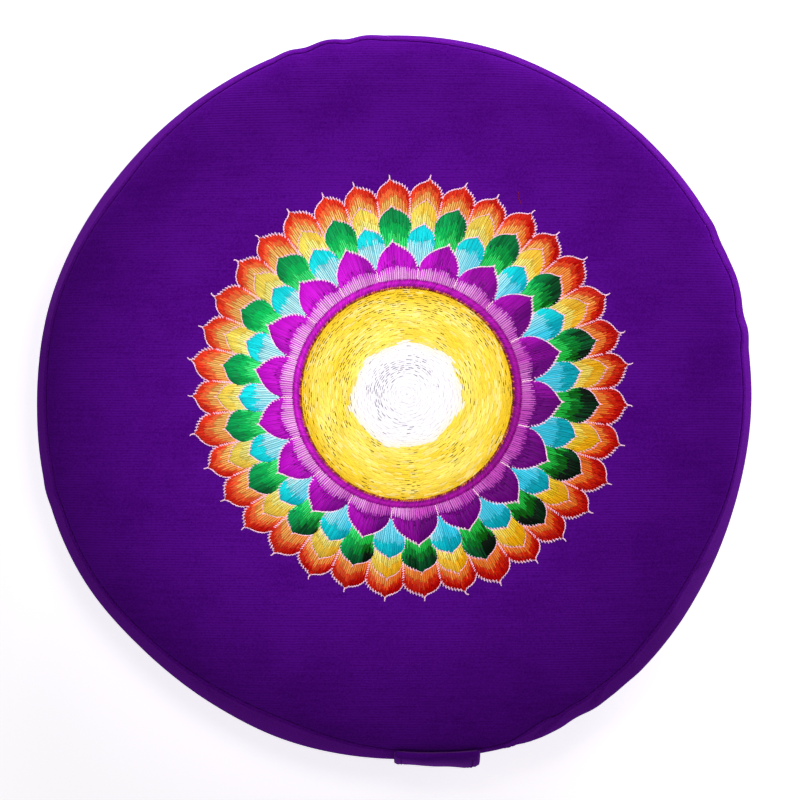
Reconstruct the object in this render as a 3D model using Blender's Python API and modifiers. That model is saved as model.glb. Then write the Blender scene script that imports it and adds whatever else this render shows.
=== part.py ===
"""A round zafu meditation cushion: a filled body inside its side band, a crowned top panel, a bottom panel
that it rests on, and a carrying strap down one side.

Metres, +Z up. The origin is on the floor under the middle of the cushion, and the strap is on the -Y side.
"""
import math
from collections import namedtuple

import bmesh
import bpy
from mathutils import Vector

NAME = "zafu_cushion"
MM = 0.001

# Driving dimensions of the cushion
HEIGHT = 0.150              # floor to the top of the crown
TOP_SEAM_Z = 0.136          # mean height of the seam round the top panel
BOTTOM_SEAM_Z = 0.012       # height of the seam round the bottom panel
CLOTH = 0.0020              # thickness of a panel, with its seam allowance
GAP = 0.0003                # between two pieces that touch
CROWN_POWER = 3.6           # higher is flatter in the middle and rounder at the edge
EDGE_ROLL = 0.0012          # how far a panel's edge turns in at its seam
EDGE_ROLL_FROM = 0.955      # where that turn begins, as a fraction of the seam's radius
FLAT_FRACTION = 0.86        # how much of the bottom panel lies on the floor
BOTTOM_POWER = 1.7          # how the bottom panel curls up to its seam
BAND_POWER = 0.85           # under 1 makes the band bulge fuller near its seams
BAND_INSET = 0.0004         # how far the band's edge lies below a panel's edge
SEAM_DROP = 0.35            # a stretch of seam that reaches further out lies lower by this share
FOOT_GATHER = 0.55          # how much of a gather is left at the bottom seam

# The uneven rim, a row for each radial section: bearing in degrees from +X, and the radii of the top seam
# and of the band's belly in millimetres.
Section = namedtuple("Section", "bearing seam belly")
RIM = (
    Section(0, 166.0, 176.5),
    Section(8, 166.4, 177.0),
    Section(15, 168.6, 178.3),
    Section(30, 169.2, 179.5),
    Section(45, 169.0, 179.0),
    Section(60, 169.4, 178.5),
    Section(75, 169.8, 179.5),
    Section(90, 169.9, 179.0),
    Section(100, 170.8, 179.0),
    Section(108, 169.4, 178.5),
    Section(120, 166.9, 177.0),
    Section(135, 163.9, 176.0),
    Section(143, 162.7, 176.0),
    Section(155, 164.4, 176.5),
    Section(165, 165.5, 177.0),
    Section(180, 165.0, 177.0),
    Section(195, 165.5, 178.5),
    Section(210, 165.2, 178.5),
    Section(225, 162.5, 176.5),
    Section(240, 160.8, 177.0),
    Section(252, 161.2, 178.5),
    Section(266, 165.9, 178.5),
    Section(277, 169.5, 178.5),
    Section(288, 172.7, 180.0),
    Section(294, 169.0, 182.5),
    Section(299, 170.0, 182.0),
    Section(304, 168.2, 182.0),
    Section(309, 168.5, 181.8),
    Section(315, 166.2, 181.0),
    Section(330, 163.6, 178.0),
    Section(345, 165.0, 176.0),
)

# Gathers where the band is eased into the seam: bearing and half width in degrees, and how far the cloth
# stands out (or in, when negative) in millimetres.
Gather = namedtuple("Gather", "bearing half_width out")
GATHERS = (
    Gather(10.5, 3.0, 0.8),
    Gather(13.8, 2.6, -0.8),
    Gather(19.0, 4.5, 0.9),
    Gather(25.4, 2.6, -0.4),
    Gather(28.6, 2.6, 0.5),
    Gather(94.0, 3.0, 0.6),
    Gather(97.4, 2.6, -0.8),
    Gather(100.8, 3.0, 0.7),
    Gather(104.2, 2.6, -0.6),
    Gather(107.2, 3.0, 0.8),
    Gather(195.0, 3.0, 0.6),
    Gather(292.5, 3.2, 0.5),
    Gather(299.5, 3.0, -0.9),
    Gather(303.5, 3.0, 0.6),
    Gather(309.0, 3.0, -0.5),
)
COARSE_STEP = 5.0           # degrees between sections where the rim is smooth
FINE_STEP = 2.0             # and where it is gathered
FINE_STRETCHES = ((6, 30), (90, 110), (190, 200), (288, 312))

# Rings of points, as fractions of the seam's radius or of the band's height
TOP_RINGS = (0.45, 0.72, 0.86, 0.94, 0.98, 1.0)
BOTTOM_RINGS = (0.5, FLAT_FRACTION, 0.91, 0.96, 1.0)
BAND_RINGS = (0.0, 0.03, 0.09, 0.19, 0.33, 0.5, 0.67, 0.81, 0.91, 0.97, 1.0)
BOTTOM_SEAM_MEAN = 0.165    # the bottom seam is half as uneven as the top one, round this radius

# Handle strap. Its rows give how far up each one is from the bottom seam (0) to the top seam (1), how far
# the strap's inner face stands out from the seams at its left edge, in millimetres, and how flat it is
# across: 0 follows the round seam and 1 is straight. It is slack and sags outward below the middle, where
# fingers go in.
STRAP_WIDTH = 0.041
STRAP_THICKNESS = 0.0020
STRAP_LEFT_X = 0.0002       # its left edge, seen from the top
STRAP_SKEW = 0.0015         # how much further out its right edge stands
STRAP_STEPS = 26            # rows of faces along it
STRAP_COLUMNS = 6           # points across its width
StrapRow = namedtuple("StrapRow", "rise out flat")
STRAP = (
    StrapRow(0.000, 0.5, 0.0),
    StrapRow(0.000, 3.0, 0.1),
    StrapRow(0.025, 7.5, 0.5),
    StrapRow(0.075, 12.5, 1.0),
    StrapRow(0.150, 17.0, 1.0),
    StrapRow(0.230, 19.0, 1.0),
    StrapRow(0.310, 18.6, 1.0),
    StrapRow(0.390, 16.8, 1.0),
    StrapRow(0.510, 14.4, 1.0),
    StrapRow(0.720, 10.4, 1.0),
    StrapRow(0.880, 7.2, 1.0),
    StrapRow(0.955, 5.0, 0.6),
    StrapRow(0.995, 2.5, 0.1),
    StrapRow(1.000, 0.5, 0.0),
)

MATERIALS = {
    "panel_cotton": ((0.075, 0.004, 0.195, 1.0), 0.9),
    "band_cotton": ((0.110, 0.010, 0.240, 1.0), 0.9),
    "strap_cotton": ((0.085, 0.006, 0.200, 1.0), 0.9),
}


def through(knots, at):
    """The value at a place on a smooth curve through four knots, each a place and a value. The place lies
    between the inner two."""
    (a0, v0), (a1, v1), (a2, v2), (a3, v3) = knots
    span = a2 - a1
    t = (at - a1) / span
    slope1 = (v2 - v0) / (a2 - a0) * span
    slope2 = (v3 - v1) / (a3 - a1) * span
    return (
        v1 * (2 * t**3 - 3 * t**2 + 1)
        + slope1 * (t**3 - 2 * t**2 + t)
        + v2 * (3 * t**2 - 2 * t**3)
        + slope2 * (t**3 - t**2)
    )


def smooth_round(bearing, column):
    """A column of the rim table at any bearing, in metres."""
    rows = len(RIM)
    bearing %= 360.0
    last = max(i for i in range(rows) if RIM[i].bearing <= bearing)

    def knot(index):
        turns, row = divmod(index, rows)
        return RIM[row].bearing + 360.0 * turns, getattr(RIM[row], column)

    return through([knot(last + k) for k in (-1, 0, 1, 2)], bearing) * MM


def gathered(bearing):
    """How far the gathers push the cloth out at a bearing, in metres."""
    out = 0.0
    for gather in GATHERS:
        off = abs((bearing - gather.bearing + 180.0) % 360.0 - 180.0)
        if off < gather.half_width:
            out += gather.out * 0.5 * (1 + math.cos(math.pi * off / gather.half_width))
    return out * MM


def section_bearings():
    """Bearings of the radial sections, closer together where the rim is gathered."""
    bearings, bearing = [], 0.0
    while bearing < 360.0 - 0.5 * FINE_STEP:
        bearings.append(bearing)
        fine = any(low <= bearing < high for low, high in FINE_STRETCHES)
        bearing += FINE_STEP if fine else COARSE_STEP
    return bearings


BEARINGS = section_bearings()
SEAM_MEAN = sum(smooth_round(b, "seam") for b in BEARINGS) / len(BEARINGS)


def top_seam(bearing):
    """Radius and height of the top seam."""
    radius = smooth_round(bearing, "seam") + gathered(bearing)
    return radius, TOP_SEAM_Z - SEAM_DROP * (radius - SEAM_MEAN)


def bottom_seam(bearing):
    """Radius and height of the bottom seam."""
    radius = 0.5 * (smooth_round(bearing, "seam") + BOTTOM_SEAM_MEAN) + FOOT_GATHER * gathered(bearing)
    return radius, BOTTOM_SEAM_Z


def polar(bearing, radius, z):
    angle = math.radians(bearing)
    return Vector((radius * math.cos(angle), radius * math.sin(angle), z))


def top_ring(fraction, below=0.0, wider=0.0):
    """A ring of the top panel's upper face, or one that lies below it and reaches wider at the seam."""
    roll = EDGE_ROLL * max(0.0, (fraction - EDGE_ROLL_FROM) / (1 - EDGE_ROLL_FROM)) ** 2
    ring = []
    for bearing in BEARINGS:
        radius, seam_z = top_seam(bearing)
        z = HEIGHT - (HEIGHT - seam_z) * fraction**CROWN_POWER - roll
        ring.append(polar(bearing, radius * fraction + wider, z - below))
    return ring


def bottom_ring(fraction, above=0.0, wider=0.0):
    """A ring of the bottom panel's lower face, or one that lies above it and reaches wider at the seam."""
    curl = max(0.0, (fraction - FLAT_FRACTION) / (1 - FLAT_FRACTION)) ** BOTTOM_POWER
    ring = []
    for bearing in BEARINGS:
        radius, seam_z = bottom_seam(bearing)
        ring.append(polar(bearing, radius * fraction + wider, seam_z * curl + above))
    return ring


def band_ring(t):
    """A ring of the side band, from its bottom edge (t = 0) to its top edge (t = 1)."""
    ring = []
    for bearing in BEARINGS:
        low_r, low_z = bottom_seam(bearing)
        high_r, high_z = top_seam(bearing)
        low_r, high_r = low_r + GAP, high_r + GAP
        low_z, high_z = low_z + BAND_INSET, high_z - EDGE_ROLL - BAND_INSET
        belly = smooth_round(bearing, "belly") + gathered(bearing)
        bulge = (4 * t * (1 - t)) ** BAND_POWER
        radius = low_r + (high_r - low_r) * t + (belly - 0.5 * (low_r + high_r)) * bulge
        ring.append(polar(bearing, radius, low_z + (high_z - low_z) * t))
    return ring


def loft(name, bottom, rings, top, material):
    """Close a stack of unlike rings into a solid, with one point on the axis below and one above.

    Each four-sided patch is split along the same corner pair, inner to outer, so that faces of two pieces
    that lie on each other stay parallel.
    """
    bm = bmesh.new()
    first = bm.verts.new(bottom)
    rows = [[bm.verts.new(point) for point in ring] for ring in rings]
    last = bm.verts.new(top)
    count = len(BEARINGS)
    for i in range(count):
        j = (i + 1) % count
        bm.faces.new((first, rows[0][j], rows[0][i]))
        bm.faces.new((last, rows[-1][i], rows[-1][j]))
        for low, high in zip(rows, rows[1:]):
            outward = high[i].co.to_2d().length >= low[i].co.to_2d().length
            if outward:
                bm.faces.new((low[i], low[j], high[j]))
                bm.faces.new((low[i], high[j], high[i]))
            else:
                bm.faces.new((low[i], low[j], high[i]))
                bm.faces.new((low[j], high[j], high[i]))
    mesh = bpy.data.meshes.new(name)
    bm.to_mesh(mesh)
    bm.free()
    return place(name, mesh, material)


def place(name, mesh, material):
    """An object in the cushion's collection, smooth shaded, with its material."""
    mesh.shade_smooth()
    mesh.set_sharp_from_angle(angle=math.radians(40))
    mesh.materials.append(material)
    piece = bpy.data.objects.new(name, mesh)
    bpy.data.collections[NAME].objects.link(piece)
    return piece


def make_materials():
    made = {}
    for name, (colour, roughness) in MATERIALS.items():
        material = bpy.data.materials.new(name)
        material.use_nodes = True
        shader = material.node_tree.nodes["Principled BSDF"]
        shader.inputs["Base Color"].default_value = colour
        shader.inputs["Roughness"].default_value = roughness
        shader.inputs["Metallic"].default_value = 0.0
        made[name] = material
    return made


def make_body(material):
    """The filling with the side band round it. A rebate at each end takes a panel's edge."""
    under = CLOTH + GAP
    rings = [bottom_ring(f, above=under) for f in BOTTOM_RINGS[:-1]]
    rings.append(bottom_ring(1.0, above=under, wider=GAP))
    rings += [band_ring(t) for t in BAND_RINGS]
    rings.append(top_ring(1.0, below=under, wider=GAP))
    rings += [top_ring(f, below=under) for f in reversed(TOP_RINGS[:-1])]
    return loft("filled_body", (0, 0, under), rings, (0, 0, HEIGHT - under), material)


def make_top_panel(material):
    rings = [top_ring(f, below=CLOTH) for f in TOP_RINGS]
    rings += [top_ring(f) for f in reversed(TOP_RINGS)]
    return loft("top_panel", (0, 0, HEIGHT - CLOTH), rings, (0, 0, HEIGHT), material)


def make_bottom_panel(material):
    rings = [bottom_ring(f) for f in BOTTOM_RINGS]
    rings += [bottom_ring(f, above=CLOTH) for f in reversed(BOTTOM_RINGS)]
    return loft("bottom_panel", (0, 0, 0), rings, (0, 0, CLOTH), material)


def strap_row(step):
    """A row along the strap: its rise, its stand-off in metres and its flatness, on a smooth curve through
    the table's rows, with as many steps between any two of them."""
    place = (len(STRAP) - 1) * step / STRAP_STEPS
    last = min(int(place), len(STRAP) - 2)
    near = [STRAP[min(max(last + k, 0), len(STRAP) - 1)] for k in (-1, 0, 1, 2)]

    def value(column):
        knots = [(last + k, getattr(row, column)) for k, row in zip((-1, 0, 1, 2), near)]
        return through(knots, place)

    return value("rise"), value("out") * MM, min(max(value("flat"), 0.0), 1.0)


def seam_at(x, seam):
    """Where a seam passes a distance x along X on the -Y side: how far out it is, and its height."""
    bearing = 270.0
    for _ in range(4):
        radius, z = seam(bearing)
        bearing = 270.0 + math.degrees(math.asin(x / radius))
    return radius * math.cos(math.radians(bearing - 270.0)), z


def strap_point(rise, out, flat, across):
    """A point of the strap's inner face, a share of its width across from its left edge."""
    x = STRAP_LEFT_X + STRAP_WIDTH * across
    ends = [(seam_at(STRAP_LEFT_X, seam)[0], *seam_at(x, seam)) for seam in (bottom_seam, top_seam)]
    left, here, z = (low + (high - low) * rise for low, high in zip(*ends))
    edge_low, edge_high = BAND_INSET - GAP, GAP - EDGE_ROLL - BAND_INSET
    base = here + (left + STRAP_SKEW * across - here) * flat
    return Vector((x, -base - out, z + edge_low + (edge_high - edge_low) * rise))


def make_strap(material):
    """A folded strap, sewn in at the top seam and at the bottom seam, that stands off the band between."""
    bm = bmesh.new()
    columns = [k / (STRAP_COLUMNS - 1) for k in range(STRAP_COLUMNS)]
    grid = []
    for step in range(STRAP_STEPS + 1):
        grid.append([bm.verts.new(strap_point(*strap_row(step), across)) for across in columns])
    for low, high in zip(grid, grid[1:]):
        for corners in zip(low, low[1:], high[1:], high):
            bm.faces.new(corners)
    mesh = bpy.data.meshes.new("handle_strap")
    bm.to_mesh(mesh)
    bm.free()
    strap = place("handle_strap", mesh, material)
    thick = strap.modifiers.new("thickness", "SOLIDIFY")
    thick.thickness = STRAP_THICKNESS
    thick.offset = 1.0
    thick.use_even_offset = True
    return strap


def main():
    for old in list(bpy.data.objects):
        bpy.data.objects.remove(old, do_unlink=True)
    collection = bpy.data.collections.new(NAME)
    bpy.context.scene.collection.children.link(collection)
    materials = make_materials()
    make_body(materials["band_cotton"])
    make_top_panel(materials["panel_cotton"])
    make_bottom_panel(materials["panel_cotton"])
    make_strap(materials["strap_cotton"])


main()
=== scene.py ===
"""Looks of the round zafu: its cotton panels, side band and strap, and the embroidered many-petalled lotus.

Metres, +Z up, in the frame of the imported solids. Tables give bearings in degrees counter-clockwise from +X
and lengths in millimetres.
"""
import math
from collections import namedtuple

import bpy
import numpy as np
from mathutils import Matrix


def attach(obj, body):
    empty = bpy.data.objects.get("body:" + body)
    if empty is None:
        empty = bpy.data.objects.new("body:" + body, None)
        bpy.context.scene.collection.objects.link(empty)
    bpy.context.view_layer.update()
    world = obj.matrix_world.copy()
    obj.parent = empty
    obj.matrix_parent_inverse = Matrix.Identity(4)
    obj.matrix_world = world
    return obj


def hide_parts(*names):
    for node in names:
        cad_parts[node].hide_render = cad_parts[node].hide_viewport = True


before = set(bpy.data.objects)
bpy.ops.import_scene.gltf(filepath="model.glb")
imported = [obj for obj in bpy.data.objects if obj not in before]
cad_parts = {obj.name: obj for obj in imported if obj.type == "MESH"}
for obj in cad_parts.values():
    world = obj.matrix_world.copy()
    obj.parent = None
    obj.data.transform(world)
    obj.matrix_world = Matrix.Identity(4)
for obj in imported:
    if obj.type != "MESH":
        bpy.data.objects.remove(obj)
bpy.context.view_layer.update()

MM = 0.001
SEED = 11
rng = np.random.default_rng(SEED)

# ------------ the cushion's own sizes, as in its solids
HEIGHT = 0.150
TOP_SEAM_Z, BOTTOM_SEAM_Z = 0.136, 0.012
BOTTOM_SEAM_MEAN = 0.165
CLOTH = 0.0020
GAP = 0.0003
CROWN_POWER = 3.6
EDGE_ROLL, EDGE_ROLL_FROM = 0.0012, 0.955   # the panel turns down at its seam: how far, and from which share
FLAT_FRACTION, BOTTOM_POWER = 0.86, 1.7     # the bottom is flat inside this share, and then curls up
BAND_POWER, BAND_INSET = 0.85, 0.0004
SEAM_DROP = 0.35            # a seam further out lies lower
FOOT_GATHER = 0.55          # the gathers are weaker at the foot

Section = namedtuple("Section", "bearing seam belly")
RIM = [Section(*row) for row in (
    (0, 166.0, 176.5), (8, 166.4, 177.0), (15, 168.6, 178.3), (30, 169.2, 179.5), (45, 169.0, 179.0),
    (60, 169.4, 178.5), (75, 169.8, 179.5), (90, 169.9, 179.0), (100, 170.8, 179.0), (108, 169.4, 178.5),
    (120, 166.9, 177.0), (135, 163.9, 176.0), (143, 162.7, 176.0), (155, 164.4, 176.5), (165, 165.5, 177.0),
    (180, 165.0, 177.0), (195, 165.5, 178.5), (210, 165.2, 178.5), (225, 162.5, 176.5), (240, 160.8, 177.0),
    (252, 161.2, 178.5), (266, 165.9, 178.5), (277, 169.5, 178.5), (288, 172.7, 180.0), (294, 169.0, 182.5),
    (299, 170.0, 182.0), (304, 168.2, 182.0), (309, 168.5, 181.8), (315, 166.2, 181.0), (330, 163.6, 178.0),
    (345, 165.0, 176.0))]

Gather = namedtuple("Gather", "bearing half_width out")
GATHERS = [Gather(*row) for row in (
    (10.5, 3.0, 0.8), (13.8, 2.6, -0.8), (19.0, 4.5, 0.9), (25.4, 2.6, -0.4), (28.6, 2.6, 0.5), (94.0, 3.0, 0.6),
    (97.4, 2.6, -0.8), (100.8, 3.0, 0.7), (104.2, 2.6, -0.6), (107.2, 3.0, 0.8), (195.0, 3.0, 0.6),
    (292.5, 3.2, 0.5), (299.5, 3.0, -0.9), (303.5, 3.0, 0.6), (309.0, 3.0, -0.5))]

STRAP_WIDTH = 0.041
STRAP_THICKNESS = 0.0020
STRAP_LEFT_X = 0.0002
STRAP_SKEW = 0.0015
StrapRow = namedtuple("StrapRow", "rise out flat")
STRAP = [StrapRow(*row) for row in (
    (0.000, 0.5, 0.0), (0.000, 3.0, 0.1), (0.025, 7.5, 0.5), (0.075, 12.5, 1.0), (0.150, 17.0, 1.0),
    (0.230, 19.0, 1.0), (0.310, 18.6, 1.0), (0.390, 16.8, 1.0), (0.510, 14.4, 1.0), (0.720, 10.4, 1.0),
    (0.880, 7.2, 1.0), (0.955, 5.0, 0.6), (0.995, 2.5, 0.1), (1.000, 0.5, 0.0))]

# ------------ finer shape of the cloth
# Slanting folds of the band below the top seam: bearing, degrees that it leans in 20 mm, half width in degrees,
# and millimetres that it stands out and reaches down.
Fold = namedtuple("Fold", "bearing lean half_width out reach")
FOLDS = [Fold(*row) for row in (
    (286.5, 5.0, 0.8, 1.4, 16.0), (298.5, -6.0, 0.9, 1.2, 26.0), (306.5, -4.0, 0.7, 1.2, 18.0),
    (13.0, 3.0, 0.7, 1.0, 18.0), (20.5, 3.0, 0.7, 0.9, 18.0), (98.5, 3.0, 0.7, 0.5, 16.0),
    (236.0, 4.0, 0.8, 0.8, 18.0), (196.0, -3.0, 0.8, 0.8, 18.0), (331.0, 4.0, 0.8, 0.9, 22.0))]
LIP = (0.00055, 0.0022, 0.0014)     # the band's edge: how far it stands out, below its seam, and over what height
BELLY_MORE = (Gather(320.0, 75.0, 1.1),)    # the band stands out a little more at the lower right
COLUMNS = 840               # points round a panel or the band
BEARINGS = np.arange(COLUMNS) * 360.0 / COLUMNS
PUCKERS = 96                # small puckers spread round the seam, besides the gathers
PUCKER_DEPTH = 0.22         # millimetres
PUCKER_REACH = 0.016        # how far in from the seam they fade out
SEAM_DITCH = 0.0004         # how far both cloths turn down into the seam
DITCH_REACH = 0.0013
DROOP = (1.3, 4.4, 136.0)   # millimetres that the panel's rim sinks: everywhere, at most besides, and where
DROOP_FROM = 0.83           # share of the radius where the droop starts
VIEW_DROP = 1.164           # from the camera down to the seam: a lower rim is drawn that much wider
UNDULATION = 0.00022        # slow unevenness of the filling under the top panel

# ------------ the lotus
DISC_CENTRE = (0.00629, 0.00182)
RIM_CENTRE = (0.00771, 0.00418)     # the outer petals are sewn a little up and to the right of the disc
RIM_STRETCH = 0.021                 # and a little wider than high
DISC_RADIUS = 0.0494
WHITE_RADIUS, WHITE_SIDES = 0.0259, 7
RING_IN, RING_OUT = 0.0502, 0.0540
SHIFT_FROM, SHIFT_OVER = 0.0503, 0.0507     # where the centre starts to move, and over how much radius
PETALS = 36
FIRST_BEARING = 4.0
# How the petals crowd: degrees, the bearing of the most, and times round.
SPREAD = ((2.4, 33.0, 1), (0.38, 90.0, 2), (0.78, 140.0, 3))
LIGHT_LEVEL = 1.22


def linear(*rgb):
    """The renderer's colour for 0-255 screen values.

    The lights are brighter than a screen's white by LIGHT_LEVEL, so that white thread still looks white toward the
    rim, and every other colour is as much darker."""
    part = np.array(rgb, float) / 255.0
    return np.where(part <= 0.04045, part / 12.92, ((part + 0.055) / 1.055) ** 2.4) / LIGHT_LEVEL


# Rayon floss, each in a lit and a shaded colour: painted light and shade, lit toward the upper left and shaded away
# from it.
FLOSS_LIT_AND_SHADED = {name: (linear(*bright), linear(*deep)) for name, bright, deep in (
    ("red", (246, 60, 34), (188, 0, 0)),
    ("scarlet", (254, 118, 60), (218, 36, 0)),
    ("orange", (255, 202, 110), (252, 122, 36)),
    ("yellow", (254, 230, 98), (248, 178, 8)),
    ("pale_yellow", (255, 250, 150), (250, 204, 24)),
    ("green", (12, 172, 90), (4, 20, 8)),
    ("mid_green", (12, 202, 98), (4, 94, 8)),
    ("leaf", (68, 250, 136), (26, 190, 62)),
    ("cyan", (24, 236, 242), (0, 170, 190)),
    ("ice", (206, 253, 255), (56, 218, 250)),
    ("magenta", (214, 20, 220), (106, 0, 124)),
    ("pink", (254, 194, 250), (214, 82, 204)),
    ("ring", (212, 26, 210), (156, 10, 146)))}
# The bearing of the painted light, and how sharply each thread turns from its lit colour to its shaded one.
PAINTED_LIGHT_BEARING = 146.0
PAINTED_LIGHT_POWER = {"red": 1.6, "scarlet": 1.2, "yellow": 0.8, "pale_yellow": 0.4, "pink": 0.8}
PLAIN_POWER = 0.95          # of the other threads
GOLD, PALE_GOLD, RIM_GOLD = linear(250, 212, 48), linear(252, 230, 104), linear(242, 196, 30)
CREAM, WHITE = linear(255, 244, 178), linear(246, 242, 247)
EDGE = linear(255, 206, 234) * LIGHT_LEVEL      # of the outlines, in full
# Where the ring meets the disc: a dark crimson that is partly the threads' own mix and partly painted shade of the
# crevice, and an orange.
RING_DARK, RING_GOLD = linear(120, 8, 60), linear(226, 120, 66)
# Dark stitches on the disc as painted shade of slits, in the white and the gold.
WHITE_SLIT, GOLD_SLIT = linear(128, 118, 146), linear(112, 84, 6)
# The disc's ground, darker than its threads: painted shade between the rounds.
WHITE_GROUND, GOLD_GROUND = linear(214, 208, 222), linear(222, 182, 40)
WHITE_SHADE, GOLD_SHADE = linear(120, 112, 140), linear(96, 74, 8)      # of the ground where slits cluster, painted shade darker still
GROUND_PAINTED_SHADE = (0.75, 0.62)  # the ground's stitches painted darker than the threads above them, as shade between the threads: first rows, last row
PANEL_COLOUR, BAND_COLOUR = linear(77, 2, 127), linear(82, 2, 130)
SEAM_THREAD, LOOSE_COLOUR = linear(84, 14, 130), linear(150, 26, 60)

# A ring of petals: tip and valley radius, how pointed its petals are (0 round, 1 straight sided), how far the
# tip is drawn out, how high it is sewn, and the rows of stitches from the tip inward.
Ring = namedtuple("Ring", "tip valley pointed drawn lift rows")
# A row: its thread, where it starts between the petal's edge (0) and the next ring (1), how much later it
# starts at the petal's sides, and the pitch and width of its stitches in millimetres.
Row = namedtuple("Row", "thread start side pitch width")
OUTER = Ring(99.6, 92.0, 0.10, 1.9, 0.05, (
    Row("red", 0.00, 0.0, 0.60, 0.86), Row("scarlet", 0.27, 0.10, 0.66, 0.84),
    Row("orange", 0.50, 0.14, 1.00, 0.76)))
YELLOW = Ring(89.8, 80.4, 0.16, 1.4, 0.18, (
    Row("yellow", 0.00, 0.0, 0.66, 0.80), Row("pale_yellow", 0.50, 0.0, 0.94, 0.84)))
GREEN = Ring(87.2, 79.4, 0.18, 1.4, 0.26, (
    Row("green", 0.00, 0.0, 0.60, 0.84), Row("mid_green", 0.36, 0.0, 0.66, 0.82),
    Row("leaf", 0.64, 0.0, 0.92, 0.74)))
CYAN = Ring(79.2, 72.6, 0.26, 1.0, 0.38, (
    Row("cyan", 0.00, 0.0, 0.60, 0.84), Row("ice", 0.36, 0.2, 0.96, 0.70)))
MAGENTA = Ring(71.4, 59.6, 0.38, 1.2, 0.50, (
    Row("magenta", 0.00, 0.0, 0.60, 0.84), Row("magenta", 0.45, 0.0, 0.84, 0.74)))
PINK = Ring(61.2, 58.5, 0.0, 0.0, 0.75, (Row("pink", 0.00, 0.0, 1.04, 0.74),))
DRAWN_REACH = 0.10          # half width of a drawn-out tip, as a share of the petal's
GREEN_REACH, CYAN_REACH = 1.14, 1.10     # how far these petals reach, against half a slot
MAGENTA_SHARE = 0.95        # a magenta petal fills this much of its place
THREAD_HEIGHT = 0.00034
PUFF = 0.00065              # how far a petal swells in its middle
GROUND_PITCH, GROUND_WIDTH = 1.1, 1.9
GROUND_HEIGHT = 0.00012
GROUND_DEEP = 0.65          # the last row's ground is this much nearer to its thread's shaded colour, more painted shade
TUCK = 0.0003               # stitches begin this far inside of a petal's edge, and end twice as far under the next
SHORTEST = 0.0008           # no shorter stitch is sewn in a row
RAGGED = 0.09               # how unevenly the later rows start, and all but the last stop, as a share of a petal
UNDER_NEXT = 0.06           # how far a row goes on past the start of the next one
SIDE_PAINTED_LIGHT = 0.35           # how much lighter the side of a petal that faces the light is painted
PETAL_PAINTED_SHADE = (0.26, 0.08)  # a painted shade along a petal somewhere: in the first row and in the others
LOOSE_THREAD = np.array([(58.6, 97.2), (58.9, 95.6), (58.5, 94.2), (59.6, 92.6), (60.0, 90.9)]) * MM


# ------------ curves through the tables
def through(knots, at):
    """Values at places on a smooth curve through four knots. Each place lies between the inner two."""
    (a0, v0), (a1, v1), (a2, v2), (a3, v3) = knots
    span = a2 - a1
    t = (at - a1) / span
    slope1 = (v2 - v0) / (a2 - a0) * span
    slope2 = (v3 - v1) / (a3 - a1) * span
    return (v1 * (2 * t**3 - 3 * t**2 + 1) + slope1 * (t**3 - 2 * t**2 + t)
            + v2 * (3 * t**2 - 2 * t**3) + slope2 * (t**3 - t**2))


def smooth_round(bearing, column):
    """A column of the rim table at any bearings, in metres."""
    places = np.array([row.bearing for row in RIM], float)
    values = np.array([getattr(row, column) for row in RIM])
    at = np.asarray(bearing, float) % 360.0
    last = np.searchsorted(places, at, side="right") - 1

    def knot(step):
        turns, row = np.divmod(last + step, len(RIM))
        return places[row] + 360.0 * turns, values[row]

    return through([knot(step) for step in (-1, 0, 1, 2)], at) * MM


def turned_from(centre, bearing):
    return (bearing - centre + 180.0) % 360.0 - 180.0


def facing(bearing, where):
    """1 at a bearing, falling to 0 opposite to it."""
    return 0.5 + 0.5 * np.cos(np.radians(bearing - where))


def hill(value, middle, width):
    return np.exp(-((value - middle) / width) ** 2)


def rising(value, over):
    """A value's rise from 0 to 1."""
    return np.clip(value / over, 0, 1)


def ditch(inside):
    """How deep the cloth is turned down into the seam, at distances from it."""
    return np.clip(1 - inside / DITCH_REACH, 0, 1) ** 2


def bumps(bearing, table):
    """Sum of raised cosines, each a bearing, a half width and a height in millimetres."""
    out = np.zeros_like(np.asarray(bearing, float))
    for centre, half_width, height in table:
        off = np.abs(turned_from(centre, bearing))
        out += np.where(off < half_width, height * 0.5 * (1 + np.cos(np.pi * off / half_width)), 0.0)
    return out * MM


def droop(bearing):
    """How far the rim of the top sinks where its filling has given way."""
    even, most, where = DROOP
    return (even + most * facing(bearing, where) ** 1.5) * MM


PUCKER_TABLE = list(zip(
    rng.uniform(0, 360, PUCKERS), rng.uniform(0.8, 2.4, PUCKERS),
    rng.uniform(-PUCKER_DEPTH, PUCKER_DEPTH, PUCKERS)))
SEAM_MEAN = float(smooth_round(np.arange(0, 360, 1.0), "seam").mean())


def top_seam(bearing):
    """Radius and height of the top seam before its rim sinks."""
    radius = smooth_round(bearing, "seam") + bumps(bearing, GATHERS)
    return radius * (1 + droop(bearing) / VIEW_DROP), TOP_SEAM_Z - SEAM_DROP * (radius - SEAM_MEAN)


def drooped_seam(bearing):
    radius, z = top_seam(bearing)
    return radius, z - droop(bearing)


def bottom_seam(bearing):
    radius = 0.5 * (smooth_round(bearing, "seam") + BOTTOM_SEAM_MEAN) + FOOT_GATHER * bumps(bearing, GATHERS)
    return radius, np.full_like(radius, BOTTOM_SEAM_Z)


def chance_waves(count, shortest, longest):
    """Waves across the plan: the way each runs, its phase and its rate."""
    return [(rng.uniform(0, math.tau), rng.uniform(0, math.tau), math.tau / rng.uniform(shortest, longest))
            for _ in range(count)]


def sum_of(waves, x, y):
    return sum(np.sin((x * math.cos(turn) + y * math.sin(turn)) * rate + phase) for turn, phase, rate in waves)


SLOW_WAVES = chance_waves(9, 0.045, 0.11)
FINE_BEARINGS = np.arange(0, 360, 0.25)
FINE_RIM = (*top_seam(FINE_BEARINGS), bumps(FINE_BEARINGS, PUCKER_TABLE))


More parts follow.
